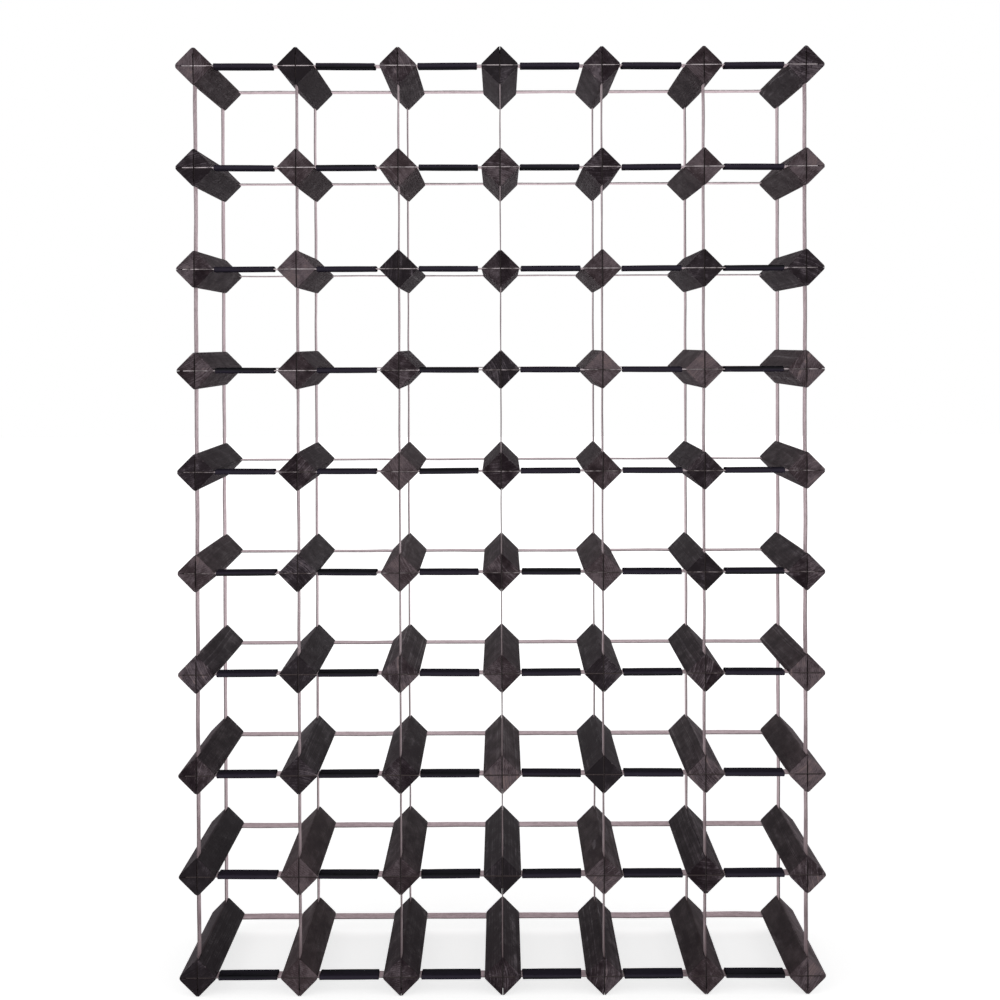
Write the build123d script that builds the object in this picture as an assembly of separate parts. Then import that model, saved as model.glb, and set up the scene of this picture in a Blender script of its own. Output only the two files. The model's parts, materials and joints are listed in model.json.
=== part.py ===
from build123d import *

import os
from math import sqrt

# Traditional lattice wine rack: timber blocks driven onto a front and a rear grid of steel straps.
#
# Frame: +X to the right, +Y to the back, +Z up, in millimetres. The origin is on the floor, under the
# centre of the rack, and the front faces -Y.
#
# Every block is a square bar standing on its corner, sawn across both ends with a cross of kerfs. The
# straps of each grid are halved into each other where they cross, and the block's kerfs take the
# crossing. A soft sleeve wraps each bay of the front cross straps, where the neck of a bottle lies.

# ---- Driving dimensions ----
cells_across = 6
cells_up = 9
pitch_x = 97.0  # centre to centre of the blocks, across
pitch_z = 96.5  # centre to centre of the blocks, up

block_side = 26.5  # square section of the timber
block_length = 228.0  # front to back
block_arris = 1.3  # width of the flat planed along each long edge

strap_width = 20.0  # galvanised strip, set on edge in the kerfs
strap_thickness = 1.0
strap_overhang = 11.0  # from the centre of the last block to the strap's end
cross_strap_recess = 0.3  # cross strap's outer edge behind the block's end face
post_strap_recess = 3.0  # upright strap's outer edge behind the block's end face
kerf_clearance = 0.15  # all round a strap in its saw kerf
halving_clearance = 0.15  # all round a strap in the notch of the other

sleeve_end_gap = 2.2  # bare strap between a sleeve and the next block
sleeve_thickness = 5.6  # across its two flats
sleeve_wall = 1.2  # beyond the strap's edges
sleeve_clearance = 0.15  # between the sleeve's bore and the strap

# ---- Worked out from the sizes above ----
corner_reach = (block_side * sqrt(2) - block_arris) / 2  # block's centre to its planed corner
column_x = [(i - cells_across / 2) * pitch_x for i in range(cells_across + 1)]
row_z = [corner_reach + j * pitch_z for j in range(cells_up + 1)]
bay_x = [x + pitch_x / 2 for x in column_x[:-1]]

kerf_width = strap_thickness + 2 * kerf_clearance
notch_width = strap_thickness + 2 * halving_clearance
halving_depth = cross_strap_recess + strap_width / 2  # where the two notches meet, behind the face
sleeve_bore = strap_width + 2 * sleeve_clearance
sleeve_proud = sleeve_wall + sleeve_clearance - cross_strap_recess  # in front of the blocks

# The sleeves are the foremost thing, so the blocks sit a little behind the middle of the depth.
block_front = (max(sleeve_proud, 0) - block_length) / 2
block_back = block_front + block_length


def timber_block():
    """One bar standing on its corner, centred on X and Z, with a cross of kerfs in each end."""
    section = Rectangle(block_side, block_side, rotation=45)
    section = chamfer(section.vertices(), block_arris / sqrt(2))
    bar = Pos(0, block_back, 0) * extrude(Plane.XZ * section, block_length)
    saw_length = 2 * block_side  # longer than the bar is wide, so the kerfs open at all four corners
    for face, inward in ((block_front, 1), (block_back, -1)):
        for recess, size_x, size_z in (
            (cross_strap_recess, saw_length, kerf_width),
            (post_strap_recess, kerf_width, saw_length),
        ):
            depth = recess + strap_width + kerf_clearance
            bar -= Pos(0, face + inward * depth / 2, 0) * Box(size_x, depth, size_z)
    return bar


def cross_strap():
    """Horizontal strap of the front grid at height 0, notched from its front edge at each column."""
    front = block_front + cross_strap_recess
    length = cells_across * pitch_x + 2 * strap_overhang
    notch_end = block_front + halving_depth + halving_clearance
    outline = Pos(0, front + strap_width / 2) * Rectangle(length, strap_width)
    for x in column_x:
        outline -= Pos(x, (front + notch_end) / 2) * Rectangle(notch_width, notch_end - front)
    return Pos(0, 0, -strap_thickness / 2) * extrude(outline, strap_thickness)


def post_strap():
    """Upright strap of the front grid at X 0, notched from its rear edge at each row."""
    front = block_front + post_strap_recess
    rear = front + strap_width
    length = cells_up * pitch_z + 2 * strap_overhang
    notch_end = block_front + halving_depth - halving_clearance
    outline = Pos((front + rear) / 2, (row_z[0] + row_z[-1]) / 2) * Rectangle(strap_width, length)
    for z in row_z:
        outline -= Pos((notch_end + rear) / 2, z) * Rectangle(rear - notch_end, notch_width)
    return Pos(-strap_thickness / 2, 0, 0) * extrude(Plane.YZ * outline, strap_thickness)


def sleeve():
    """Flattened tube round one bay of a front cross strap, centred on X and Z.

    Its front and rear noses are half octagons about the half round that the flats run into.
    """
    nose_chamfer = sleeve_thickness / (2 + sqrt(2))
    profile = Rectangle(sleeve_bore + 2 * sleeve_wall, sleeve_thickness)
    profile = chamfer(profile.vertices(), nose_chamfer)
    profile -= Rectangle(sleeve_bore, strap_thickness + 2 * sleeve_clearance)
    length = pitch_x - 2 * corner_reach - 2 * sleeve_end_gap
    strap_middle = block_front + cross_strap_recess + strap_width / 2
    return Pos(-length / 2, strap_middle, 0) * extrude(Plane.YZ * profile, length)


def in_rear_grid(strap):
    """The same strap in the rear grid, mirrored about the middle of the blocks."""
    return mirror(strap, Plane.XZ.offset(-(block_front + block_back) / 2))


def row_of(piece, places_x, z):
    """Separate copies of one piece along a row, kept together as one node."""
    return Compound(children=[Pos(x, 0, z) * piece for x in places_x])


def rack():
    """Every node of the rack, as its name and its shape."""
    block, tube = timber_block(), sleeve()
    front_cross, front_post = cross_strap(), post_strap()
    rear_cross, rear_post = in_rear_grid(front_cross), in_rear_grid(front_post)
    for row, z in enumerate(row_z, start=1):
        yield f"timber_blocks_row_{row:02d}", row_of(block, column_x, z)
        yield f"front_cross_strap_{row:02d}", Pos(0, 0, z) * front_cross
        yield f"rear_cross_strap_{row:02d}", Pos(0, 0, z) * rear_cross
        yield f"strap_sleeves_row_{row:02d}", row_of(tube, bay_x, z)
    for column, x in enumerate(column_x, start=1):
        yield f"front_post_strap_{column}", Pos(x, 0, 0) * front_post
        yield f"rear_post_strap_{column}", Pos(x, 0, 0) * rear_post


os.makedirs("parts", exist_ok=True)
for name, shape in rack():
    export_step(shape, f"parts/{name}.step")
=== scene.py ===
# Lattice wine rack in black-stained pine, zinc-coated strip steel and black vinyl sleeves.
import json
import random
from functools import partial
from math import cos, pi, radians, sin, sqrt

import bmesh
import bpy
from mathutils import Euler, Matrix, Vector

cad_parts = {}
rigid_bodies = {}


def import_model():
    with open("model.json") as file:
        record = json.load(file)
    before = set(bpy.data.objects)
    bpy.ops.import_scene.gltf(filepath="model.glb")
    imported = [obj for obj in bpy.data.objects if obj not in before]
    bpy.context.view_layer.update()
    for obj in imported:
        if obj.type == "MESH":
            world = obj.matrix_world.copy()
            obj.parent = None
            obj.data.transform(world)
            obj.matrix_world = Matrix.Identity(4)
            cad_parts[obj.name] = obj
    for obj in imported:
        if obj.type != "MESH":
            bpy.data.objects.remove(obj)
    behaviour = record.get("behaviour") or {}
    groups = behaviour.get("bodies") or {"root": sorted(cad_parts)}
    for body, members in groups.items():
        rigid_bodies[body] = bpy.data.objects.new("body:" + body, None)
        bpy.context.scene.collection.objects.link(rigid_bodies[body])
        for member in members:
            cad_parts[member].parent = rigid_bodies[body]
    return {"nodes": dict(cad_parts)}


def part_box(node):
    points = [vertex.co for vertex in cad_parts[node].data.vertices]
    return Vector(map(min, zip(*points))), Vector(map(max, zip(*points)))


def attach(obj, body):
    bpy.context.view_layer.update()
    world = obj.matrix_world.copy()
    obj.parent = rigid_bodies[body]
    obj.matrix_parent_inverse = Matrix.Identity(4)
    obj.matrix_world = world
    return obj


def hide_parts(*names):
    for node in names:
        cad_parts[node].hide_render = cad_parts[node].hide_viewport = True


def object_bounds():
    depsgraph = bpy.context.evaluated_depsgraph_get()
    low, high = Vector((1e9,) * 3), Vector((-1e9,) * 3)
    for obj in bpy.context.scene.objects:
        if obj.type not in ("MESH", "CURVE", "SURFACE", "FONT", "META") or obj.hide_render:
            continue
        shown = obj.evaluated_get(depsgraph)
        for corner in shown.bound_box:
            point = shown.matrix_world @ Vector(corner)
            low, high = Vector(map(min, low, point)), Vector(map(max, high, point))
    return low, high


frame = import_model()
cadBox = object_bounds()
mm = 0.001


def srgb(code):  # "#RRGGBB" as written on a colour chart, to the linear colour that shaders want
    parts = [int(code[i:i + 2], 16) / 255 for i in (1, 3, 5)]
    return [p / 12.92 if p <= 0.04045 else ((p + 0.055) / 1.055) ** 2.4 for p in parts] + [1]


def addNode(tree, kind, inputs={}, **settings):  # inputs: socket name or place -> value, socket or node
    node = tree.nodes.new(kind)
    for name, value in settings.items():
        setattr(node, name, value)
    for key, value in inputs.items():
        if isinstance(key, int):
            socket = node.inputs[key]
        else:
            socket = next(s for s in node.inputs if s.name == key and s.enabled)
        if isinstance(value, bpy.types.Node):
            value = next(s for s in value.outputs if s.enabled)
        if isinstance(value, bpy.types.NodeSocket):
            tree.links.new(value, socket)
        else:
            socket.default_value = value
    return node


def startNodes(owner):  # empties a material's or the world's tree and gives the call that adds to it
    owner.use_nodes = True
    owner.node_tree.nodes.clear()
    return partial(addNode, owner.node_tree)


def newTree(name, inputs):  # a Geometry Nodes tree with named inputs: name -> (socket type, start value)
    tree = bpy.data.node_groups.new(name, "GeometryNodeTree")
    for label, (kind, start) in inputs.items():
        socket = tree.interface.new_socket(label, in_out="INPUT", socket_type="NodeSocket" + kind)
        if start is not None:
            socket.default_value = start
    tree.interface.new_socket("Geometry", in_out="OUTPUT", socket_type="NodeSocketGeometry")
    add = partial(addNode, tree)
    return tree, add, add("NodeGroupInput").outputs


def putInScene(name, data):
    thing = bpy.data.objects.new(name, data)
    bpy.context.scene.collection.objects.link(thing)
    return thing


def plainMesh(thing):  # what the object's modifiers make of it, with its attributes; the object itself goes
    bpy.context.view_layer.update()
    graph = bpy.context.evaluated_depsgraph_get()
    mesh = bpy.data.meshes.new_from_object(thing.evaluated_get(graph), preserve_all_data_layers=True,
                                           depsgraph=graph)
    bpy.data.objects.remove(thing)
    return mesh


def growMesh(name, tree, values, bevelWidth=0):  # runs a tree on an empty mesh and keeps the plain result
    maker = putInScene(name + "Maker", bpy.data.meshes.new(name + "Maker"))
    modifier = maker.modifiers.new("nodes", "NODES")
    modifier.node_group = tree
    for socket in tree.interface.items_tree:
        if socket.in_out == "INPUT" and socket.name in values:
            modifier[socket.identifier] = values[socket.name]
    if bevelWidth:
        bevel = maker.modifiers.new("bevel", "BEVEL")
        bevel.width, bevel.segments = bevelWidth, 2
        bevel.limit_method, bevel.angle_limit = "ANGLE", radians(50)
    mesh = plainMesh(maker)
    material = mesh.materials[-1]
    mesh.materials.clear()
    mesh.materials.append(material)
    mesh.polygons.foreach_set("material_index", [0] * len(mesh.polygons))
    mesh.name = name
    return putInScene(name, mesh)


def dress(piece, node):  # the piece stands for one CAD node and rides with the rack
    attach(piece, "root")
    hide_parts(node)


# The rack's sizes, read from the frame.
rowCount = sum(name.startswith("timber_blocks_row") for name in frame["nodes"])
columnCount = sum(name.startswith("front_post_strap") for name in frame["nodes"])
blockLow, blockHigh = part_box("timber_blocks_row_01")
crossLow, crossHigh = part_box("front_cross_strap_01")
_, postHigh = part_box("front_post_strap_1")
sleeveLow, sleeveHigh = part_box("strap_sleeves_row_01")
cornerReach = (blockHigh.z - blockLow.z) / 2
pitchX = (blockHigh.x - blockLow.x - 2 * cornerReach) / (columnCount - 1)
frontY, backY = blockLow.y, blockHigh.y
rowHeights = [sum(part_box(f"timber_blocks_row_{row:02d}")[side].z for side in (0, 1)) / 2
              for row in range(1, rowCount + 1)]
pitchZ = (rowHeights[-1] - rowHeights[0]) / (rowCount - 1)

camera = dict(
    lens=76.4,  # millimetres
    sensor=36,
    distance=2.017,  # in front of the blocks' end faces
    aboveMiddle=0.170,  # over the middle of the rack
    aside=0.0004,
    downTilt=0.64,  # degrees
    rightTurn=0.17,
    roll=-0.19,
    shiftX=-0.0075,
    shiftY=-0.133,
)


def placeCamera():
    data = bpy.data.cameras.new("camera")
    data.lens, data.sensor_width = camera["lens"], camera["sensor"]
    data.shift_x, data.shift_y = camera["shiftX"], camera["shiftY"]
    data.clip_start, data.clip_end = 0.05, 50
    eye = putInScene("camera", data)
    middle = (cadBox[0].z + cadBox[1].z) / 2
    eye.location = (camera["aside"], frontY - camera["distance"], middle + camera["aboveMiddle"])
    level = Euler((radians(90 - camera["downTilt"]), 0, radians(-camera["rightTurn"]))).to_matrix()
    eye.rotation_euler = (level @ Euler((0, 0, radians(camera["roll"]))).to_matrix()).to_euler()
    bpy.context.scene.camera = eye


placeCamera()
print("camera placed")

stain = dict(
    deep="#20181C",  # where the soft early wood drank the stain
    mid="#342C31",
    worn="#696067",  # late wood and rubbed edges that shed it
    bare="#93807F",  # end grain where it hardly took
    takesOver=dict(mid=(0.0, 0.5), worn=(0.5, 1.1), bare=(1.1, 1.8)),  # from and to which paleness
    warm="#5E4F50",  # bars that kept some of the pine's own brown
    cool="#2E2D30",  # bars whose stain dried to a plain grey black
    chip="#8F8580",
    kerf="#2A1D1A",  # walls of the saw kerfs, where little stain ran in
    nap="#927C89",  # raised fibres of the planed sides, that light skims
    paleBy=dict(  # how much each cause adds to the paleness of a place
        grain=1.0, fibres=0.75, speckle=0.60, marks=0.06, fastGrown=0.30,
        sawnEnd=-0.22, edges=0.30, endMarks=0.08,
        quarter=0.55,  # the four quarters that the kerfs leave of an end took the dip each its own way
        endLuck=0.58,  # how much paler the palest bar's ends are than the darkest bar's
        handled=0.36),
    patchPale=0.72,  # added where the dip ran thin
    darkening=1.10,  # taken off again for the whole coat
    offPith=(17 * mm, 0, 9 * mm),  # no bar holds the heart of the log
    logReach=(0.05, 9, 0.03),  # metres over which the bars lay in their logs
    ringPitch=(1.7 * mm, 3.2 * mm),  # slow-grown and fast-grown bars
    lateWood=(0.45, 0.92, 0.95),  # where in a year's ring it starts, is full, and stops short
    boldness=(0.2, 0.95),  # how far the rings stand out through the stain, bar by bar
    sway=6 * mm,  # of the rings, as the trunk wasn't quite round
    swaySize=31.25 * mm,
    yearSwing=9 * mm,  # fat and lean years
    yearSize=5.263 * mm,
    fibreWidth=0.7 * mm,  # true fibres are finer: drawn as coarse as shows
    fibreLength=38 * mm,
    patchSize=12.5 * mm,
    rubSize=4.348 * mm,
    speckleSize=1.111 * mm,
    chipSpacing=8.333 * mm,
    planerPitch=2.6 * mm,  # feed marks along the bar
    bladePitch=1.9 * mm,  # arcs that the cross-cut saw left on the ends
    bladeHub=(110 * mm, 0, 20 * mm),  # from the middle of that saw to the bar's axis
    wanderSize=16.67 * mm,  # of both marks, which never run quite true
    planerWander=3 * mm,
    bladeWander=1.6 * mm,
    rubWidth=1.8 * mm,
    quarterStep=7.3,  # sets the quarters, and then the bars, far apart in a smooth noise
    barStep=61,
    matt=(0.80, 0.62),  # roughness of dark and of pale places
    reliefDepth=0.22 * mm,
)


def makeStainedPine():
    # Pine bars sawn, planed, cut to length and dipped in black stain: matt, brownish black, paler on
    # the late wood and the rubbed corners, with the growth rings showing on the sawn ends.
    material = bpy.data.materials.new("blackStainedPine")
    add = startNodes(material)
    place = add("ShaderNodeAttribute", attribute_name="blockAt").outputs["Vector"]
    chance = add("ShaderNodeAttribute", attribute_name="chance").outputs["Vector"]
    luck = add("ShaderNodeSeparateXYZ", {0: chance}).outputs
    at = add("ShaderNodeSeparateXYZ", {0: place}).outputs

    # Each bar comes from its own place in the log: turned about its length and moved off the pith.
    turn = add("ShaderNodeMath", {0: luck[0], 1: 2 * pi}, operation="MULTIPLY")
    turned = add("ShaderNodeVectorRotate", {"Vector": place, "Angle": turn}, rotation_type="Y_AXIS")
    offPith = add("ShaderNodeVectorMath", {0: turned, 1: stain["offPith"]}, operation="ADD")
    log = add("ShaderNodeVectorMath", {0: chance, 1: stain["logReach"], 2: offPith},
              operation="MULTIPLY_ADD").outputs[0]
    across = add("ShaderNodeVectorMath", {0: log, 1: (1, 0, 1)}, operation="MULTIPLY")
    fromPith = add("ShaderNodeVectorMath", {0: across}, operation="LENGTH").outputs["Value"]
    drawn = add("ShaderNodeVectorMath", {0: log, 1: (1, 0.12, 1)}, operation="MULTIPLY")
    sway = add("ShaderNodeTexNoise", {"Vector": drawn, "Scale": 1 / stain["swaySize"], "Detail": 3.0,
                                      "Roughness": 0.4})
    radius = add("ShaderNodeMath", {0: sway, 1: stain["sway"], 2: fromPith}, operation="MULTIPLY_ADD")
    years = add("ShaderNodeTexNoise", {"W": radius, "Scale": 1 / stain["yearSize"], "Detail": 2.0},
                noise_dimensions="1D")
    radius = add("ShaderNodeMath", {0: years, 1: stain["yearSwing"], 2: radius}, operation="MULTIPLY_ADD")
    slow, fast = stain["ringPitch"]
    pitch = add("ShaderNodeMapRange", {"Value": luck[1], "To Min": slow, "To Max": fast})
    ring = add("ShaderNodeMath", {0: radius, 1: pitch}, operation="DIVIDE")
    ring = add("ShaderNodeMath", {0: ring}, operation="FRACT")
    starts, full, stops = stain["lateWood"]
    rising = add("ShaderNodeMapRange", {"Value": ring, "From Min": starts, "From Max": full})
    # A To Max that varies, here and below, multiplies the range by it.
    lateWood = add("ShaderNodeMapRange", {"Value": ring, "From Min": 1.0, "From Max": stops,
                                          "To Max": rising})

    # Fibres run along the bar and show as pores on its ends.
    fibreScale = (1 / stain["fibreWidth"], 1 / stain["fibreLength"], 1 / stain["fibreWidth"])
    fibreAt = add("ShaderNodeVectorMath", {0: log, 1: fibreScale}, operation="MULTIPLY")
    fibres = add("ShaderNodeTexNoise", {"Vector": fibreAt, "Scale": 1.0, "Detail": 3.0, "Roughness": 0.62})

    # Where on the bar: how far from its axis across either pair of sides, and how near an end.
    sides = []
    for operation in ("ADD", "SUBTRACT"):
        side = add("ShaderNodeMath", {0: at[0], 1: at[2]}, operation=operation)
        side = add("ShaderNodeMath", {0: side, 1: 1 / sqrt(2)}, operation="MULTIPLY")
        sides.append(add("ShaderNodeMath", {0: side}, operation="ABSOLUTE"))
    least = add("ShaderNodeMath", {0: sides[0], 1: sides[1]}, operation="MINIMUM")
    most = add("ShaderNodeMath", {0: sides[0], 1: sides[1]}, operation="MAXIMUM")
    halfLength, halfSide = (backY - frontY) / 2, block["side"] / 2
    along = add("ShaderNodeMath", {0: at[1]}, operation="ABSOLUTE")
    onEnd = add("ShaderNodeMapRange", {"Value": along, "From Min": halfLength - 0.5 * mm,
                                       "From Max": halfLength - 0.2 * mm})
    notEnd = add("ShaderNodeMapRange", {"Value": onEnd, "To Min": 1.0, "To Max": 0.0})
    inKerf = add("ShaderNodeMapRange", {"Value": most, "From Min": halfSide - 0.6 * mm,
                                        "From Max": halfSide - 0.9 * mm, "To Max": notEnd})

    # Planer marks across the sides, and arcs of the saw on the ends.
    wander = add("ShaderNodeTexNoise", {"Vector": place, "Scale": 1 / stain["wanderSize"], "Detail": 1.0})
    feed = add("ShaderNodeMath", {0: sides[0], 1: 0.3, 2: at[1]}, operation="MULTIPLY_ADD")
    hub = add("ShaderNodeVectorMath", {0: turned, 1: stain["bladeHub"]}, operation="ADD")
    hub = add("ShaderNodeVectorMath", {0: hub, 1: (1, 0, 1)}, operation="MULTIPLY")
    arcs = add("ShaderNodeVectorMath", {0: hub}, operation="LENGTH").outputs["Value"]
    waves = []
    for reach, wandering, pitch in ((feed, stain["planerWander"], stain["planerPitch"]),
                                    (arcs, stain["bladeWander"], stain["bladePitch"])):
        wave = add("ShaderNodeMath", {0: wander, 1: wandering, 2: reach}, operation="MULTIPLY_ADD")
        wave = add("ShaderNodeMath", {0: wave, 1: 2 * pi / pitch}, operation="MULTIPLY")
        waves.append(add("ShaderNodeMath", {0: wave}, operation="SINE"))
    arcs = add("ShaderNodeMapRange", {"Value": wander, "From Min": 0.42, "From Max": 0.62,
                                      "To Max": waves[1]})
    marks = add("ShaderNodeMix", {"Factor": onEnd, "A": waves[0], "B": arcs}).outputs[0]

    # What made a place paler: the grain, the saw, the dip and the handling.
    smeared = add("ShaderNodeVectorMath", {0: log, 1: (1, 0.3, 1)}, operation="MULTIPLY")
    patches = add("ShaderNodeTexNoise", {"Vector": smeared, "Scale": 1 / stain["patchSize"], "Detail": 4.0,
                                         "Roughness": 0.62})
    rub = add("ShaderNodeTexNoise", {"Vector": place, "Scale": 1 / stain["rubSize"], "Detail": 3.0})
    speckle = add("ShaderNodeTexNoise", {"Vector": place, "Scale": 1 / stain["speckleSize"], "Detail": 2.0})
    rubStart = halfSide - stain["rubWidth"]
    nearEdge = add("ShaderNodeMapRange", {"Value": least, "From Min": rubStart,
                                          "From Max": halfSide - 0.4 * mm})
    nearRim = add("ShaderNodeMapRange", {"Value": most, "From Min": rubStart, "From Max": halfSide,
                                         "To Max": onEnd})
    edges = add("ShaderNodeMath", {0: nearEdge, 1: nearRim}, operation="MAXIMUM")
    edges = add("ShaderNodeMapRange", {"Value": rub, "From Min": 0.45, "From Max": 0.75, "To Max": edges})
    handled = add("ShaderNodeMapRange", {"Value": rub, "From Min": 0.56, "From Max": 0.72})

    quarter = add("ShaderNodeVectorMath", {0: place}, operation="SIGN")
    farChance = add("ShaderNodeVectorMath", {0: chance, 1: [stain["barStep"]] * 3}, operation="MULTIPLY")
    quarter = add("ShaderNodeVectorMath", {0: quarter, 1: [stain["quarterStep"]] * 3, 2: farChance},
                  operation="MULTIPLY_ADD")
    quarter = add("ShaderNodeTexNoise", {"Vector": quarter, "Scale": 1.0, "Detail": 0.0})
    quarter = add("ShaderNodeMapRange", {"Value": quarter, "From Min": 0.3, "From Max": 0.7, "To Max": onEnd})
    endLuck = add("ShaderNodeMath", {0: luck[2], 1: onEnd}, operation="MULTIPLY")
    endMarks = add("ShaderNodeMath", {0: marks, 1: onEnd}, operation="MULTIPLY")
    endMarks = add("ShaderNodeMath", {0: endMarks, 1: luck[2]}, operation="MULTIPLY")

    dull, strong = stain["boldness"]
    bold = add("ShaderNodeMapRange", {"Value": luck[0], "To Min": dull, "To Max": strong})
    bold = add("ShaderNodeMath", {0: patches, 1: bold}, operation="MULTIPLY")
    goodYears = add("ShaderNodeMapRange", {"Value": years, "From Min": 0.35, "From Max": 0.6, "To Min": 0.4,
                                           "To Max": 1.5})
    bold = add("ShaderNodeMath", {0: bold, 1: goodYears}, operation="MULTIPLY")
    grain = add("ShaderNodeMath", {0: lateWood, 1: bold}, operation="MULTIPLY")

    causes = dict(grain=grain, fibres=fibres, speckle=speckle, marks=marks, fastGrown=luck[1], sawnEnd=onEnd,
                  edges=edges, endMarks=endMarks, quarter=quarter, endLuck=endLuck, handled=handled)
    pale = add("ShaderNodeMapRange", {"Value": patches, "From Min": 0.32, "From Max": 0.68,
                                      "To Max": stain["patchPale"]})
    for cause, share in stain["paleBy"].items():
        pale = add("ShaderNodeMath", {0: causes[cause], 1: share, 2: pale}, operation="MULTIPLY_ADD")
    pale = add("ShaderNodeMath", {0: pale, 1: stain["darkening"]}, operation="SUBTRACT")

    # Each tone, laid over those before it.
    tones = {}
    for name, (start, end) in stain["takesOver"].items():
        tones[name] = add("ShaderNodeMapRange", {"Value": pale, "From Min": start, "From Max": end})
    warmth = add("ShaderNodeMath", {0: quarter, 1: 0.25, 2: patches}, operation="MULTIPLY_ADD")
    warmth = add("ShaderNodeMath", {0: luck[2], 1: 0.9, 2: warmth}, operation="MULTIPLY_ADD")
    tones["warm"] = add("ShaderNodeMapRange", {"Value": warmth, "From Min": 0.85, "From Max": 1.6,
                                               "To Max": 0.5})
    tones["cool"] = add("ShaderNodeMapRange", {"Value": luck[2], "From Min": 0.3, "From Max": 0.0,
                                               "To Max": 0.45})
    knocked = add("ShaderNodeMapRange", {"Value": rub, "From Min": 0.58, "From Max": 0.62, "To Max": 0.7})
    spots = add("ShaderNodeTexVoronoi", {"Vector": place, "Scale": 1 / stain["chipSpacing"]})
    tones["chip"] = add("ShaderNodeMapRange", {"Value": spots, "From Min": 0.09, "From Max": 0.05,
                                               "To Max": knocked})
    tones["kerf"] = inKerf
    colour = srgb(stain["deep"])
    for name, share in tones.items():
        colour = add("ShaderNodeMix", {"Factor": share, "A": colour, "B": srgb(stain[name])},
                     data_type="RGBA")

    height = add("ShaderNodeMath", {0: lateWood, 1: 0.30, 2: fibres}, operation="MULTIPLY_ADD")
    height = add("ShaderNodeMath", {0: marks, 1: 0.16, 2: height}, operation="MULTIPLY_ADD")
    height = add("ShaderNodeMath", {0: height, 1: tones["chip"]}, operation="SUBTRACT")
    bump = add("ShaderNodeBump", {"Height": height, "Strength": 0.6, "Distance": stain["reliefDepth"]})
    dark, light = stain["matt"]
    rough = add("ShaderNodeMapRange", {"Value": pale, "To Min": dark, "To Max": light})
    shader = add("ShaderNodeBsdfPrincipled", {
        "Base Color": colour, "Roughness": rough, "IOR": 1.5, "Specular IOR Level": 0.06,
        "Sheen Weight": 0.20, "Sheen Roughness": 0.3, "Sheen Tint": srgb(stain["nap"]), "Normal": bump})
    add("ShaderNodeOutputMaterial", {"Surface": shader})
    return material


zinc = dict(
    dull="#847B7D",
    face="#A79EA1",
    pale="#BEB5B8",
    takesOver=dict(face=(0.40, 0.69), pale=(0.69, 0.92)),  # from and to which tone
    glance="#FFEDF2",  # the warm cast that the passivated zinc takes at a glancing angle
    edge="#675C5F",  # darker steel left by the slitting knives
    tarnish="#504446",  # painted shade: darker towards the floor, in place of the dimmer light and reflections low down
    soil="#201715",  # stain and dust caught in the kerfs, and painted shade where the strap lies in them
    spangle=3.2 * mm,  # zinc crystals on hot-dipped strip
    rollLine=0.4 * mm,  # true rolling lines are finer: drawn as coarse as shows
    cloudLength=90.91 * mm,
    cloudWidth=22.22 * mm,
    soilSize=6.25 * mm,
    slitEdge=0.6 * mm,
    damp=0.9,  # metres over which the painted shade fades out going up
    kerfReach=(0.215, 0.195),  # share of a bay over which the soil and painted shade of a kerf end
    satin=(0.44, 0.28),  # roughness of dull and of pale places
    lineDepth=0.04 * mm,
)


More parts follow.
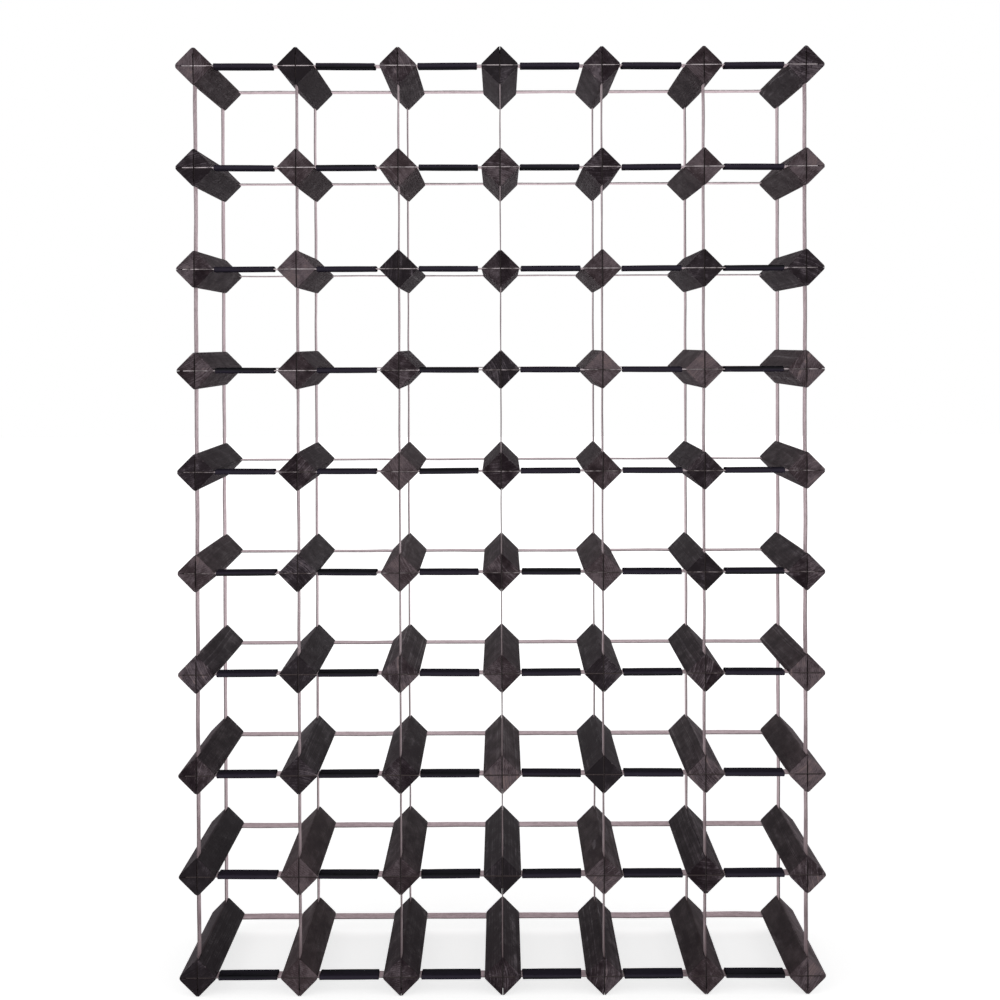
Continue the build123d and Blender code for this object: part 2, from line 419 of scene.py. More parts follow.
def makeZincStrip():
    # Hot-dipped strip steel, slit to width: a satin grey metal with faint crystals, fine lines along the
    # strip from rolling, and darker slit edges, soiled and painted with shade where they lie in the timber.
    material = bpy.data.materials.new("zincCoatedStrip")
    add = startNodes(material)
    place = add("ShaderNodeAttribute", attribute_name="stripAt").outputs["Vector"]
    chance = add("ShaderNodeAttribute", attribute_name="chance").outputs["Vector"]
    bay, soil, wear = [add("ShaderNodeAttribute", attribute_name=name).outputs["Fac"]
                       for name in ("bayAt", "soil", "wear")]
    at = add("ShaderNodeSeparateXYZ", {0: place}).outputs
    moved = add("ShaderNodeVectorMath", {0: place, 1: chance}, operation="ADD")

    crystals = add("ShaderNodeTexVoronoi", {"Vector": moved, "Scale": 1 / zinc["spangle"]}).outputs["Color"]
    crystals = add("ShaderNodeSeparateColor", {0: crystals}).outputs[0]
    lineScale = (0.02 / zinc["rollLine"], 1 / zinc["rollLine"], 1 / zinc["rollLine"])
    lines = add("ShaderNodeVectorMath", {0: moved, 1: lineScale}, operation="MULTIPLY")
    lines = add("ShaderNodeTexNoise", {"Vector": lines, "Scale": 1.0, "Detail": 2.0})
    cloudScale = (1 / zinc["cloudLength"], 1 / zinc["cloudWidth"], 1 / zinc["cloudWidth"])
    clouds = add("ShaderNodeVectorMath", {0: moved, 1: cloudScale}, operation="MULTIPLY")
    clouds = add("ShaderNodeTexNoise", {"Vector": clouds, "Scale": 1.0, "Detail": 3.0})
    tone = add("ShaderNodeMath", {0: clouds, 1: 0.5}, operation="MULTIPLY")
    tone = add("ShaderNodeMath", {0: crystals, 1: 0.24, 2: tone}, operation="MULTIPLY_ADD")
    tone = add("ShaderNodeMath", {0: lines, 1: 0.60, 2: tone}, operation="MULTIPLY_ADD")

    tones = {}
    for name, (start, end) in zinc["takesOver"].items():
        tones[name] = add("ShaderNodeMapRange", {"Value": tone, "From Min": start, "From Max": end})
    halfWidth = (crossHigh.y - crossLow.y) / 2
    fromMiddle = add("ShaderNodeMath", {0: at[1], 1: halfWidth}, operation="SUBTRACT")
    fromMiddle = add("ShaderNodeMath", {0: fromMiddle}, operation="ABSOLUTE")
    onEdge = add("ShaderNodeMapRange", {"Value": fromMiddle, "From Min": halfWidth - zinc["slitEdge"],
                                        "From Max": halfWidth - 0.1 * mm, "To Max": 0.72})
    # Slit edges darker by the strap's wear level: partly real wear, partly painted shade that is heavier on
    # the low rows.
    tones["edge"] = add("ShaderNodeMath", {0: onEdge, 1: wear}, operation="MULTIPLY")
    # Painted shade: the strap darkens towards the floor, in place of the dimmer light and reflections low
    # down.
    rise = add("ShaderNodeSeparateXYZ", {0: add("ShaderNodeTexCoord").outputs["Object"]}).outputs["Z"]
    rise = add("ShaderNodeMath", {0: clouds, 1: 0.12, 2: rise}, operation="MULTIPLY_ADD")
    tones["tarnish"] = add("ShaderNodeMapRange", {"Value": rise, "From Min": zinc["damp"], "From Max": 0.0,
                                                  "To Max": wear})

    # Distance from the nearest crossing says which part of an edge lies in a kerf, where it is painted dark:
    # partly soil, partly painted shade in the recess.
    near = add("ShaderNodeMath", {0: bay, 1: 0.5}, operation="PINGPONG")
    patches = add("ShaderNodeTexNoise", {"Vector": moved, "Scale": 1 / zinc["soilSize"], "Detail": 3.0})
    near = add("ShaderNodeMath", {0: patches, 1: 0.05, 2: near}, operation="MULTIPLY_ADD")
    soilAndShadeLevel = add("ShaderNodeMath", {0: soil, 1: patches}, operation="ADD")
    soilAndShadeLevel = add("ShaderNodeMapRange", {"Value": soilAndShadeLevel, "From Min": 0.75, "From Max": 1.05})
    far, close = zinc["kerfReach"]
    tones["soil"] = add("ShaderNodeMapRange", {"Value": near, "From Min": far, "From Max": close,
                                               "To Max": soilAndShadeLevel})
    # Where soil and painted shade lie, the strap is no longer drawn as metal.
    metalShare = add("ShaderNodeMapRange", {"Value": tones["soil"], "To Min": 1.0, "To Max": 0.0})
    colour = srgb(zinc["dull"])
    for name, share in tones.items():
        colour = add("ShaderNodeMix", {"Factor": share, "A": colour, "B": srgb(zinc[name])}, data_type="RGBA")

    bump = add("ShaderNodeBump", {"Height": lines, "Strength": 0.2, "Distance": zinc["lineDepth"]})
    dull, pale = zinc["satin"]
    rough = add("ShaderNodeMapRange", {"Value": tone, "From Min": zinc["takesOver"]["face"][0],
                                       "From Max": zinc["takesOver"]["pale"][1], "To Min": dull,
                                       "To Max": pale})
    shader = add("ShaderNodeBsdfPrincipled", {
        "Base Color": colour, "Metallic": metalShare, "Roughness": rough, "Specular Tint": srgb(zinc["glance"]),
        "Normal": bump})
    add("ShaderNodeOutputMaterial", {"Surface": shader})
    return material


vinyl = dict(
    body="#0B0A0D",  # its own deep black, shown on the top and front where no painted light lies
    haze="#231E29",  # painted light: a lighter tone on the rear of the top and on the lower nose and underside, for grazing reflection and light thrown up from the floor
    shine="#F2F0FF",
    gloss=0.012,
    satin=(0.55, 0.34),  # roughness where the painted light lies and where the plain black shows
    drawLine=0.8 * mm,
    cloudSize=11.11 * mm,
    rubTop=(-0.9 * mm, 0.7 * mm),  # the painted light stays off above this height
    rubFront=(10 * mm, -9 * mm),  # and in front of this depth
    lineDepth=0.06 * mm,
)


def makeVinyl():
    # Extruded soft vinyl tube: deep black with a slight blue cast, satin, with faint lines along the
    # draw, and a painted lighter tone for reflection and floor-bounce light on all but its top and front.
    material = bpy.data.materials.new("softBlackVinyl")
    add = startNodes(material)
    place = add("ShaderNodeAttribute", attribute_name="sleeveAt").outputs["Vector"]
    chance = add("ShaderNodeAttribute", attribute_name="chance").outputs["Vector"]
    at = add("ShaderNodeSeparateXYZ", {0: place}).outputs
    moved = add("ShaderNodeVectorMath", {0: place, 1: chance}, operation="ADD")
    lineScale = (0.03 / vinyl["drawLine"], 1 / vinyl["drawLine"], 1 / vinyl["drawLine"])
    lines = add("ShaderNodeVectorMath", {0: moved, 1: lineScale}, operation="MULTIPLY")
    lines = add("ShaderNodeTexNoise", {"Vector": lines, "Scale": 1.0, "Detail": 2.0})
    clouds = add("ShaderNodeTexNoise", {"Vector": moved, "Scale": 1 / vinyl["cloudSize"], "Detail": 4.0,
                                        "Roughness": 0.65})

    # Painted light: a lighter tone everywhere but the top and front, in place of grazing reflection and light
    # from the floor.
    plainShare = 1.0
    for reach, (start, end) in ((at[2], vinyl["rubTop"]), (at[1], vinyl["rubFront"])):
        plainShare = add("ShaderNodeMapRange", {"Value": reach, "From Min": start, "From Max": end,
                                            "To Max": plainShare})
    uneven = add("ShaderNodeMapRange", {"Value": clouds, "From Min": 0.3, "From Max": 0.7, "To Min": -0.25,
                                        "To Max": 0.25})
    plainShare = add("ShaderNodeMath", {0: plainShare, 1: uneven}, operation="ADD", use_clamp=True)
    colour = add("ShaderNodeMix", {"Factor": plainShare, "A": srgb(vinyl["haze"]), "B": srgb(vinyl["body"])},
                 data_type="RGBA")
    paintedLightRough, plainRough = vinyl["satin"]
    rough = add("ShaderNodeMapRange", {"Value": plainShare, "To Min": paintedLightRough, "To Max": plainRough})
    height = add("ShaderNodeMath", {0: clouds, 1: 0.6, 2: lines}, operation="MULTIPLY_ADD")
    bump = add("ShaderNodeBump", {"Height": height, "Strength": 0.25, "Distance": vinyl["lineDepth"]})
    body = add("ShaderNodeBsdfPrincipled", {"Base Color": colour, "Roughness": rough, "IOR": 1.53,
                                            "Specular IOR Level": 0.0, "Normal": bump})
    satin = add("ShaderNodeBsdfGlossy", {"Color": srgb(vinyl["shine"]), "Roughness": rough, "Normal": bump})
    shader = add("ShaderNodeMixShader", {0: vinyl["gloss"], 1: body, 2: satin})
    add("ShaderNodeOutputMaterial", {"Surface": shader})
    return material


block = dict(
    side=26.5 * mm,
    endEase=0.45 * mm,  # sanding of the sawn ends
    arcSteps=6,
    tangentGap=0.7 * mm,  # ring of points on the flats just beside each round, to keep the flats flat
    kerfClearance=0.15 * mm,
    nippedKerf=0.45 * mm,  # where no strap holds the kerf open
    nipLength=2 * mm,
    crispRadii=[(1.8, 1.6, 1.7, 1.6), (1.6, 2.0, 1.6, 1.8), (1.8, 1.7, 2.2, 1.6), (1.6, 1.8, 1.6, 2.4)],
    wornRadii=[(3.4, 2.6, 3.2, 2.2), (2.8, 3.2, 3.6, 2.6), (3.8, 2.4, 2.8, 3.2)],
    bruised=0.06,  # share of a rim's points that took a knock
    bruise=(0.1 * mm, 0.45 * mm),
    tilt=0.5,  # degrees that a block may be driven on out of true
    push=0.35 * mm,  # how far one may stand in front of the next
    seed=11,
)


def sectionOf(radii, inset):  # rounded square standing on its corner, as (x, z) going round
    reach = block["side"] / sqrt(2) - inset * sqrt(2)
    points = []
    for corner, radius in enumerate(radii):
        radius = max(radius * mm - inset, 0.3 * mm)
        towards = corner * pi / 2
        hub = Vector((cos(towards), sin(towards))) * (reach - radius * sqrt(2))
        flatOut = Vector((cos(towards - pi / 4), sin(towards - pi / 4)))
        points.append(hub + flatOut * radius + Vector((flatOut.y, -flatOut.x)) * block["tangentGap"])
        for step in range(block["arcSteps"] + 1):
            turn = towards + (step / block["arcSteps"] - 0.5) * pi / 2
            points.append(hub + Vector((cos(turn), sin(turn))) * radius)
        flatOut = Vector((cos(towards + pi / 4), sin(towards + pi / 4)))
        points.append(hub + flatOut * radius + Vector((-flatOut.y, flatOut.x)) * block["tangentGap"])
    return points


def loftMesh(name, rings, capEnds):  # joins equal rings of points into a closed skin
    mesh = bmesh.new()
    rows = [[mesh.verts.new(point) for point in ring] for ring in rings]
    for here, there in zip(rows, rows[1:] if capEnds else rows[1:] + rows[:1]):
        for k in range(len(here)):
            mesh.faces.new((here[k - 1], here[k], there[k], there[k - 1]))
    if capEnds:
        mesh.faces.new(rows[0])
        mesh.faces.new(list(reversed(rows[-1])))
    bmesh.ops.recalc_face_normals(mesh, faces=mesh.faces)
    data = bpy.data.meshes.new(name)
    mesh.to_mesh(data)
    mesh.free()
    return data


def smoothMesh(data, placeName):  # also keeps each point's place in the piece's own axes, for its material
    for polygon in data.polygons:
        polygon.use_smooth = True
    layer = data.attributes.new(placeName, "FLOAT_VECTOR", "POINT")
    layer.data.foreach_set("vector", [x for vert in data.vertices for x in vert.co])


def kerfCutters(pinched):  # the cross of saw cuts in each end, nipped shut at the corners of worn blocks
    halfKerf = (crossHigh.z - crossLow.z) / 2 + block["kerfClearance"]
    crossDepth = crossHigh.y - frontY + block["kerfClearance"]
    postDepth = postHigh.y - frontY + block["kerfClearance"]
    end, past = (backY - frontY) / 2, 10 * mm
    held = crossHigh.x - (columnCount - 1) / 2 * pitchX  # how far the strap's end reaches past the middle
    nipped = held + block["nipLength"]
    outer = block["nippedKerf"] / 2 if pinched else halfKerf
    profile = [(-block["side"], outer), (-nipped, outer), (-held, halfKerf), (held, halfKerf),
               (nipped, outer), (block["side"], outer)]
    outline = profile + [(along, -half) for along, half in reversed(profile)]
    cutters = []
    for depth, upright in ((crossDepth, False), (postDepth, True)):
        for near, far in ((-end - past, depth - end), (end - depth, end + past)):
            rings = [[(half, y, along) if upright else (along, y, half) for along, half in outline]
                     for y in (near, far)]
            cutters.append(putInScene("kerfCutter", loftMesh("kerfCutter", rings, capEnds=True)))
    return cutters


def makeBlockVariants(collection):
    rng = random.Random(block["seed"])
    cutters = {pinched: kerfCutters(pinched) for pinched in (False, True)}
    ease = block["endEase"]
    end = (backY - frontY) / 2
    endSteps = [(0, ease), (0.15 * ease, 0.5 * ease), (0.5 * ease, 0.15 * ease), (ease, 0), (2.5 * mm, 0),
                (9 * mm, 0)]
    for number, radii in enumerate(block["crispRadii"] + block["wornRadii"]):
        stations = [(along - end, inset) for along, inset in endSteps]
        stations += [(0, 0)]
        stations += [(end - along, inset) for along, inset in reversed(endSteps)]
        rings = [[Vector((x, y, z)) for x, z in sectionOf(radii, inset)] for y, inset in stations]
        for ring in rings[:4] + rings[-4:]:  # small bruises on the sawn rims
            for point in ring:
                if rng.random() < block["bruised"]:
                    inwards = Vector((-point.x, 0, -point.z)).normalized()
                    point += inwards * rng.uniform(*block["bruise"])
        bar = putInScene(f"block{number}", loftMesh(f"block{number}", rings, capEnds=True))
        for cutter in cutters[number >= len(block["crispRadii"])]:
            saw = bar.modifiers.new("saw", "BOOLEAN")
            saw.operation, saw.solver, saw.object = "DIFFERENCE", "EXACT", cutter
        sawn = plainMesh(bar)
        smoothMesh(sawn, "blockAt")
        sawn.set_sharp_from_angle(angle=radians(35))
        collection.objects.link(bpy.data.objects.new(f"block{number}", sawn))
    for cutter in cutters[False] + cutters[True]:
        bpy.data.objects.remove(cutter)


sleeve = dict(
    wall=1.2 * mm,
    bore=1.6 * mm,  # height of the slot that the strap lies in
    flare=0.35 * mm,  # of the bore at its mouths
    lip=0.9 * mm,  # rounding of the cut ends
    slant=0.4 * mm,  # the knife wasn't quite square
    crown=0.4 * mm,  # swell of the flats between the noses
    pinch=0.1 * mm,  # how much thinner the tube is just inside its ends
    aroundSteps=10,  # points on each nose
    variants=4,
    creep=-1.2 * mm,  # they have slid to the left
    slip=0.5 * mm,  # and each by a little more or less
    tilt=0.45,
    seed=23,
)


def stadium(halfWide, halfThick, crown):  # (y, z) points going round, with slightly swollen flats
    steps = sleeve["aroundSteps"]
    points = []
    for side in (1, -1):
        hub = side * (halfWide - halfThick)
        for k in range(steps + 1):
            turn = -pi / 2 + k * pi / steps
            points.append(Vector((hub + side * cos(turn) * halfThick, side * sin(turn) * halfThick)))
        for k in range(1, 6):
            share = k / 6
            points.append(Vector((hub * (1 - 2 * share), side * (halfThick + crown * sin(pi * share)))))
    return points


def makeSleeveVariants(collection):
    rng = random.Random(sleeve["seed"])
    half = (sleeveHigh.x - sleeveLow.x - (columnCount - 2) * pitchX) / 2
    halfDeep = (sleeveHigh.y - sleeveLow.y) / 2
    halfThick = (sleeveHigh.z - sleeveLow.z) / 2 - sleeve["crown"]
    boreDeep, boreThick = halfDeep - sleeve["wall"], sleeve["bore"] / 2
    lip = sleeve["lip"]
    skin = [(half, 0.9 * lip), (half - 0.1 * lip, 0.5 * lip), (half - 0.4 * lip, 0.15 * lip), (half - lip, 0)]
    skin += [(half - inwards, sleeve["pinch"] * dip) for inwards, dip in
             ((3 * mm, 0.6), (6 * mm, 1.0), (12 * mm, 0.4), (20 * mm, 0.0))]
    skin += [(-along, inset) for along, inset in reversed(skin)]
    for number in range(sleeve["variants"]):
        slants = [rng.uniform(-sleeve["slant"], sleeve["slant"]) for _ in range(2)]
        rings = []
        for along, inset in skin:
            outline = stadium(halfDeep - inset, halfThick - inset, sleeve["crown"])
            rings.append([(along, y, z) for y, z in outline])
        for along in (-half + 0.1 * lip, -half + lip, 0, half - lip, half - 0.1 * lip):
            flare = sleeve["flare"] if abs(along) > half - 0.5 * lip else 0
            outline = stadium(boreDeep + flare, boreThick + flare, 0)
            rings.append([(along, y, z) for y, z in outline])
        for ring in rings:
            for k, (x, y, z) in enumerate(ring):
                slant = slants[0] if x > 0 else slants[1]
                ring[k] = (x + slant * y / halfDeep * min(1, abs(x) / half), y, z)
        data = loftMesh(f"sleeve{number}", rings, capEnds=False)
        smoothMesh(data, "sleeveAt")
        collection.objects.link(bpy.data.objects.new(f"sleeve{number}", data))


def makeRowTree():
    tree, add, given = newTree("rowOfPieces", {
        "Variants": ("Collection", None),
        "First Worn": ("Int", 4),
        "All Variants": ("Int", 4),
        "Count": ("Int", 7),
        "Pitch": ("Float", pitchX),
        "Middle": ("Vector", (0, 0, 0)),
        "Creep": ("Float", 0.0),  # along the row, the same for all
        "Slip": ("Float", 0.0),  # along the row, each its own
        "Push": ("Float", 0.0),  # towards the front
        "Tilt": ("Float", 0.0),
        "Worn Row": ("Bool", False),
        "Seed": ("Int", 1),
        "Material": ("Material", None),
    })
    last = add("ShaderNodeMath", {0: given["Count"], 1: 1}, operation="SUBTRACT")
    long = add("ShaderNodeMath", {0: last, 1: given["Pitch"]}, operation="MULTIPLY")
    start = add("ShaderNodeMath", {0: long, 1: -0.5, 2: given["Creep"]}, operation="MULTIPLY_ADD")
    start = add("ShaderNodeCombineXYZ", {"X": start})
    start = add("ShaderNodeVectorMath", {0: given["Middle"], 1: start}, operation="ADD")
    step = add("ShaderNodeCombineXYZ", {"X": given["Pitch"]})
    line = add("GeometryNodeMeshLine", {"Count": given["Count"], "Start Location": start, "Offset": step})

    # Worn variants go to both ends of the row, and all along a worn row.
    index = add("GeometryNodeInputIndex")
    fromStart = add("ShaderNodeMath", {0: index, 1: 0.5}, operation="LESS_THAN")
    fromLast = add("ShaderNodeMath", {0: last, 1: index}, operation="SUBTRACT")
    fromLast = add("ShaderNodeMath", {0: fromLast, 1: 0.5}, operation="LESS_THAN")
    worn = add("ShaderNodeMath", {0: fromStart, 1: fromLast}, operation="MAXIMUM")
    worn = add("ShaderNodeMath", {0: worn, 1: given["Worn Row"]}, operation="MAXIMUM")
    lowest = add("ShaderNodeMath", {0: worn, 1: given["First Worn"]}, operation="MULTIPLY")
    plainTop = add("ShaderNodeMath", {0: given["First Worn"], 1: 1}, operation="SUBTRACT")
    wornTop = add("ShaderNodeMath", {0: given["All Variants"], 1: 1}, operation="SUBTRACT")
    highest = add("ShaderNodeMix", {"Factor": worn, "A": plainTop, "B": wornTop})
    choice = add("FunctionNodeRandomValue", {"Min": lowest, "Max": highest, "Seed": given["Seed"]},
                 data_type="INT")

    # Either end may face forward and either side up, a little out of true and place.
    dice = []
    for number in range(1, 6):
        seed = add("ShaderNodeMath", {0: given["Seed"], 1: number}, operation="ADD")
        dice.append(add("FunctionNodeRandomValue", {"Min": -1.0, "Max": 1.0, "Seed": seed},
                        data_type="FLOAT"))
    half = [add("ShaderNodeMath", {0: throw, 1: 0}, operation="GREATER_THAN") for throw in dice[:2]]
    tilt = add("ShaderNodeMath", {0: dice[2], 1: given["Tilt"]}, operation="MULTIPLY")
    aboutY = add("ShaderNodeMath", {0: half[0], 1: pi, 2: tilt}, operation="MULTIPLY_ADD")
    aboutZ = add("ShaderNodeMath", {0: half[1], 1: pi}, operation="MULTIPLY")
    turn = add("ShaderNodeCombineXYZ", {"Y": aboutY, "Z": aboutZ})
    variants = add("GeometryNodeCollectionInfo", {"Collection": given["Variants"], "Separate Children": True,
                                                  "Reset Children": True})
    placed = add("GeometryNodeInstanceOnPoints", {"Points": line, "Instance": variants, "Pick Instance": True,
                                                  "Instance Index": choice, "Rotation": turn})
    crept = add("ShaderNodeMath", {0: dice[3], 1: given["Slip"]}, operation="MULTIPLY")
    pushed = add("ShaderNodeMapRange", {"Value": dice[4], "From Min": -1.0, "From Max": 1.0, "To Max": -1.0})
    pushed = add("ShaderNodeMath", {0: pushed, 1: given["Push"]}, operation="MULTIPLY")
    moved = add("GeometryNodeTranslateInstances", {
        "Instances": placed, "Translation": add("ShaderNodeCombineXYZ", {"X": crept, "Y": pushed}),
        "Local Space": False})
    chance = add("FunctionNodeRandomValue", {"Seed": given["Seed"]}, data_type="FLOAT_VECTOR")
    marked = add("GeometryNodeStoreNamedAttribute", {"Geometry": moved, "Name": "chance", "Value": chance},
                 data_type="FLOAT_VECTOR", domain="INSTANCE")
    real = add("GeometryNodeRealizeInstances", {"Geometry": marked})
    painted = add("GeometryNodeSetMaterial", {"Geometry": real, "Material": given["Material"]})
    add("NodeGroupOutput", {"Geometry": painted})
    return tree


strap = dict(
    halvingClearance=0.15 * mm,
    bow=0.32 * mm,  # thin strip never lies quite straight between two blocks
    sleevedBow=0.1 * mm,
    twist=0.16 * mm,
    bowWaves=0.9,  # per bay
    twistWaves=1.3,
    swayStep=97.0,  # sets the straps far apart in a smooth noise
    cutsPerBay=14,
    edgeRound=0.12 * mm,
    crossDirt=((0.8, 0.18), (0.65, 0.0)),  # soil and wear, each from the first strap to the last: partly real, partly painted shade that is heaviest on the lowest row
    postDirt=((0.7, 0.7), (0.92, 0.92)),
    seed=5,
)


def makeStrapTree():
    tree, add, given = newTree("halvedStrap", {
        "Length": ("Float", 0.6),
        "Width": ("Float", 0.02),
        "Thickness": ("Float", 0.001),
        "Crossings": ("Int", 7),
        "Pitch": ("Float", pitchX),
        "Notch Width": ("Float", 0.0013),
        "Notch Depth": ("Float", 0.01),
        "Bow": ("Float", 0.0),
        "Twist": ("Float", 0.0),
        "Turn": ("Vector", (0, 0, 0)),
        "Place": ("Vector", (0, 0, 0)),
        "Chance": ("Vector", (0, 0, 0)),
        "Soil": ("Float", 0.0),
        "Wear": ("Float", 0.0),
        "Material": ("Material", None),
    })

    # A flat blank, cut across often enough to bow, lying on the X axis with one edge at y = 0.
    cuts = add("ShaderNodeMath", {0: given["Crossings"], 1: strap["cutsPerBay"], 2: 1},
               operation="MULTIPLY_ADD")
    size = add("ShaderNodeCombineXYZ", {"X": given["Length"], "Y": given["Width"], "Z": given["Thickness"]})
    blank = add("GeometryNodeMeshCube", {"Size": size, "Vertices X": cuts})
    halfWidth = add("ShaderNodeMath", {0: given["Width"], 1: 0.5}, operation="MULTIPLY")
    halfWidth = add("ShaderNodeCombineXYZ", {"Y": halfWidth})
    blank = add("GeometryNodeTransform", {"Geometry": blank, "Translation": halfWidth})

    # A notch at every crossing, punched from that edge.
    last = add("ShaderNodeMath", {0: given["Crossings"], 1: 1}, operation="SUBTRACT")
    start = add("ShaderNodeMath", {0: last, 1: given["Pitch"]}, operation="MULTIPLY")
    start = add("ShaderNodeMath", {0: start, 1: -0.5}, operation="MULTIPLY")
    first = add("ShaderNodeCombineXYZ", {"X": start})
    step = add("ShaderNodeCombineXYZ", {"X": given["Pitch"]})
    crossings = add("GeometryNodeMeshLine", {"Count": given["Crossings"], "Start Location": first,
                                             "Offset": step})
    depth = add("ShaderNodeMath", {0: given["Notch Depth"], 1: 2}, operation="MULTIPLY")
    through = add("ShaderNodeMath", {0: given["Thickness"], 1: 3}, operation="MULTIPLY")
    punch = add("ShaderNodeCombineXYZ", {"X": given["Notch Width"], "Y": depth, "Z": through})
    punch = add("GeometryNodeMeshCube", {"Size": punch})
    punches = add("GeometryNodeInstanceOnPoints", {"Points": crossings, "Instance": punch})
    punches = add("GeometryNodeRealizeInstances", {"Geometry": punches})
    notched = add("GeometryNodeMeshBoolean", {"Mesh 1": blank, "Mesh 2": punches}, operation="DIFFERENCE",
                  solver="EXACT")

    # What the material needs to know: place on the strip, place between crossings, luck, and soil and wear
    # with painted shade.
    position = add("GeometryNodeInputPosition")
    at = add("ShaderNodeSeparateXYZ", {0: position}).outputs
    bay = add("ShaderNodeMath", {0: at[0], 1: start}, operation="SUBTRACT")
    bay = add("ShaderNodeMath", {0: bay, 1: given["Pitch"]}, operation="DIVIDE")  # whole at the crossings
    marked = notched
    for kind, values in (("FLOAT_VECTOR", dict(stripAt=position, chance=given["Chance"])),
                         ("FLOAT", dict(bayAt=bay, soil=given["Soil"], wear=given["Wear"]))):
        for name, value in values.items():
            marked = add("GeometryNodeStoreNamedAttribute",
                         {"Geometry": marked, "Name": name, "Value": value}, data_type=kind, domain="POINT")

    # It bows and leans a little between crossings, and stays put at each crossing and beyond the last.
    free = add("ShaderNodeMath", {0: bay, 1: pi}, operation="MULTIPLY")
    free = add("ShaderNodeMath", {0: free}, operation="SINE")
    free = add("ShaderNodeMath", {0: free, 1: free}, operation="MULTIPLY")
    for edge, operation in ((0.0, "GREATER_THAN"), (last, "LESS_THAN")):
        within = add("ShaderNodeMath", {0: bay, 1: edge}, operation=operation)
        free = add("ShaderNodeMath", {0: free, 1: within}, operation="MULTIPLY")
    luck = add("ShaderNodeSeparateXYZ", {0: given["Chance"]}).outputs
    sway = []
    for chance, waves, share in ((luck[0], strap["bowWaves"], given["Bow"]),
                                 (luck[1], strap["twistWaves"], given["Twist"])):
        swayAt = add("ShaderNodeMath", {0: chance, 1: strap["swayStep"], 2: bay}, operation="MULTIPLY_ADD")
        wave = add("ShaderNodeTexNoise", {"W": swayAt, "Scale": waves, "Detail": 1.0}, noise_dimensions="1D")
        wave = add("ShaderNodeMapRange", {"Value": wave, "From Min": 0.25, "From Max": 0.75, "To Min": -1.0})
        sway.append(add("ShaderNodeMath", {0: wave, 1: share}, operation="MULTIPLY"))
    lean = add("ShaderNodeMath", {0: at[1], 1: given["Width"]}, operation="DIVIDE")
    lean = add("ShaderNodeMapRange", {"Value": lean, "To Min": -1.0})
    rise = add("ShaderNodeMath", {0: sway[1], 1: lean, 2: sway[0]}, operation="MULTIPLY_ADD")
    rise = add("ShaderNodeMath", {0: rise, 1: free}, operation="MULTIPLY")
    rise = add("ShaderNodeCombineXYZ", {"Z": rise})
    bent = add("GeometryNodeSetPosition", {"Geometry": marked, "Offset": rise})
    turned = add("GeometryNodeTransform", {"Geometry": bent, "Rotation": given["Turn"],
                                           "Translation": given["Place"]})
    real = add("GeometryNodeRealizeInstances", {"Geometry": turned})
    painted = add("GeometryNodeSetMaterial", {"Geometry": real, "Material": given["Material"]})
    add("NodeGroupOutput", {"Geometry": painted})
    return tree


def makeStraps():
    tree, material = makeStrapTree(), makeZincStrip()
    rng = random.Random(strap["seed"])
    width, thickness = crossHigh.y - crossLow.y, crossHigh.z - crossLow.z
    meetY = crossLow.y + width / 2  # where the two halvings meet
    crossNotch = meetY - crossLow.y + strap["halvingClearance"]
    postNotch = postHigh.y - meetY + strap["halvingClearance"]
    notchWidth = thickness + 2 * strap["halvingClearance"]
    kinds = {  # what each node is called -> crossings, pitch, notch, turn, edge that is notched, bow
        "front_cross_strap": (columnCount, pitchX, crossNotch, (0, 0, 0), 0, strap["sleevedBow"]),
        "rear_cross_strap": (columnCount, pitchX, crossNotch, (pi, 0, 0), 1, strap["bow"]),
        "front_post_strap": (rowCount, pitchZ, postNotch, (pi, -pi / 2, 0), 1, strap["bow"]),
        "rear_post_strap": (rowCount, pitchZ, postNotch, (0, -pi / 2, 0), 0, strap["bow"]),
    }
    for kind, (crossings, pitch, notch, turn, edge, bow) in kinds.items():
        nodes = sorted(name for name in frame["nodes"] if name.startswith(kind))
        dirtAndShade = strap["crossDirt" if "cross" in kind else "postDirt"]
        for place, node in enumerate(nodes):
            low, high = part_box(node)
            middle = (low + high) / 2
            middle.y = (low, high)[edge].y
            # Painted shade as well as soil and wear: the cross straps get darker towards the lowest row.
            share = place / (len(nodes) - 1)
            soil, wear = [first + (last - first) * share for first, last in dirtAndShade]
            piece = growMesh(node.title().replace("_", ""), tree, {
                "Length": max(high.x - low.x, high.z - low.z), "Width": width, "Thickness": thickness,
                "Crossings": crossings, "Pitch": pitch, "Notch Width": notchWidth, "Notch Depth": notch,
                "Bow": bow, "Twist": min(strap["twist"], bow), "Turn": turn, "Place": middle,
                "Chance": [rng.random() for _ in range(3)], "Soil": soil, "Wear": wear,
                "Material": material}, strap["edgeRound"])
            dress(piece, node)
    print("straps made")


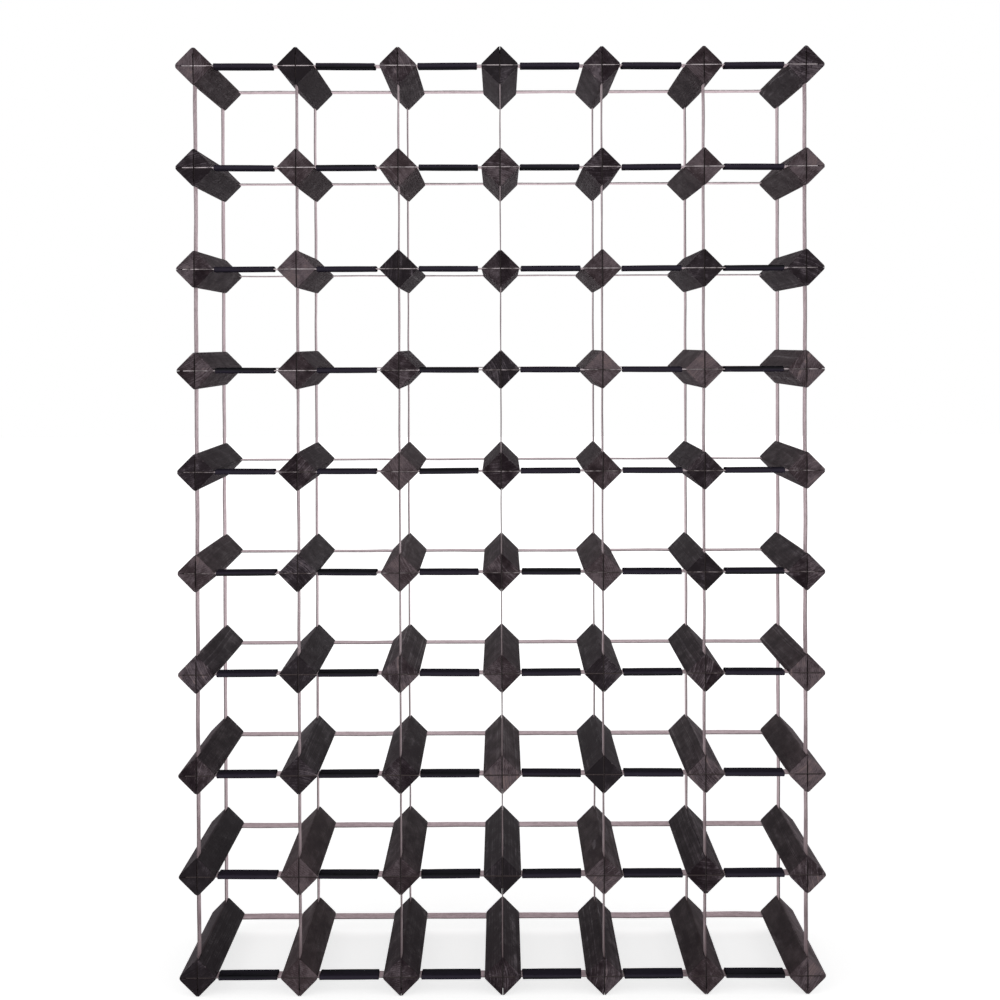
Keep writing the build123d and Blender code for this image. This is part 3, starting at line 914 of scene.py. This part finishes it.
def makeRows():
    tree = makeRowTree()
    blocks, sleeves = bpy.data.collections.new("blockVariants"), bpy.data.collections.new("sleeveVariants")
    makeBlockVariants(blocks)
    makeSleeveVariants(sleeves)
    pine, softVinyl = makeStainedPine(), makeVinyl()
    middleY, sleeveY = (frontY + backY) / 2, (sleeveLow.y + sleeveHigh.y) / 2
    for row, height in enumerate(rowHeights, start=1):
        piece = growMesh(f"TimberBlocksRow{row:02d}", tree, {
            "Variants": blocks, "First Worn": len(block["crispRadii"]), "All Variants": len(blocks.objects),
            "Count": columnCount, "Pitch": pitchX, "Middle": (0, middleY, height), "Push": block["push"],
            "Tilt": radians(block["tilt"]), "Worn Row": row in (1, rowCount),
            "Seed": block["seed"] + 10 * row, "Material": pine})
        dress(piece, f"timber_blocks_row_{row:02d}")
        piece = growMesh(f"StrapSleevesRow{row:02d}", tree, {
            "Variants": sleeves, "First Worn": len(sleeves.objects) - 1, "All Variants": len(sleeves.objects),
            "Count": columnCount - 1, "Pitch": pitchX, "Middle": (0, sleeveY, height),
            "Creep": sleeve["creep"], "Slip": sleeve["slip"], "Tilt": radians(sleeve["tilt"]),
            "Seed": sleeve["seed"] + 10 * row, "Material": softVinyl})
        dress(piece, f"strap_sleeves_row_{row:02d}")
    for collection in (blocks, sleeves):
        for part in list(collection.objects):
            bpy.data.objects.remove(part)
        bpy.data.collections.remove(collection)
    print("blocks and sleeves made")


makeStraps()
makeRows()

studio = dict(
    floorHalf=12.0,
    floorThick=0.02,
    floorPaint="#DCDCDC",
    floorGlow=(0.75, 0.92),  # lifts the floor to white for the eye alone: near the rack, and far from it
    glowReach=(0.7, 3.0),
    white="#FFFFFF",
    roomLight=(0.95, 0.25),  # what the walls and the ceiling give to matt surfaces
    roomRise=(0.1, 0.8),
    lamps=dict(key=((-1.8, -2.1, 0.45), 2.7, 27.0), fill=((2.0, -1.9, 0.4), 2.7, 21.0)),
)


def isSeen(add):  # 1 for what the eye or a reflection sees, 0 for the light that matt surfaces gather
    path = add("ShaderNodeLightPath").outputs
    seen = add("ShaderNodeMath", {0: path["Is Camera Ray"], 1: path["Is Glossy Ray"]}, operation="MAXIMUM")
    return add("ShaderNodeMath", {0: seen, 1: path["Is Transmission Ray"]}, operation="MAXIMUM")


def makeFloor():
    # Matt pale paint, that the eye sees as nearly white but for the rack's shadow.
    material = bpy.data.materials.new("paintedFloor")
    add = startNodes(material)
    place = add("ShaderNodeTexCoord").outputs["Object"]
    away = add("ShaderNodeVectorMath", {0: place}, operation="LENGTH").outputs["Value"]
    (near, far), (dim, bright) = studio["glowReach"], studio["floorGlow"]
    glow = add("ShaderNodeMapRange", {"Value": away, "From Min": near, "From Max": far, "To Min": dim,
                                      "To Max": bright}, interpolation_type="SMOOTHSTEP")
    glow = add("ShaderNodeMath", {0: isSeen(add), 1: glow}, operation="MULTIPLY")
    matt = add("ShaderNodeBsdfDiffuse", {"Color": srgb(studio["floorPaint"])})
    glowing = add("ShaderNodeEmission", {"Color": srgb(studio["white"]), "Strength": glow})
    both = add("ShaderNodeAddShader", {0: matt, 1: glowing})
    add("ShaderNodeOutputMaterial", {"Surface": both})

    half = studio["floorHalf"]
    corners = ((-half, -half), (half, -half), (half, half), (-half, half))
    rings = [[(x, y, z) for x, y in corners] for z in (-studio["floorThick"], 0)]
    floor = putInScene("floor", loftMesh("floor", rings, capEnds=True))
    floor.data.materials.append(material)


def makeRoom():
    world = bpy.data.worlds.new("studio")
    bpy.context.scene.world = world
    add = startNodes(world)
    rise = add("ShaderNodeSeparateXYZ", {0: add("ShaderNodeTexCoord").outputs["Generated"]}).outputs["Z"]
    (low, high), (walls, ceiling) = studio["roomRise"], studio["roomLight"]
    room = add("ShaderNodeMapRange", {"Value": rise, "From Min": low, "From Max": high, "To Min": walls,
                                      "To Max": ceiling})
    strength = add("ShaderNodeMapRange", {"Value": isSeen(add), "To Min": room, "To Max": 1.0})
    sky = add("ShaderNodeBackground", {"Color": srgb(studio["white"]), "Strength": strength})
    add("ShaderNodeOutputWorld", {"Surface": sky})

    for name, (place, size, power) in studio["lamps"].items():
        data = bpy.data.lights.new(name, "AREA")
        data.size, data.energy = size, power
        lamp = putInScene(name, data)
        lamp.location = place
        aim = Vector((0, 0, (cadBox[1].z + cadBox[0].z) / 2)) - Vector(place)
        lamp.rotation_euler = aim.to_track_quat("-Z", "Y").to_euler()


makeFloor()
makeRoom()
bpy.context.scene.view_settings.view_transform = "Standard"
print("studio lit")
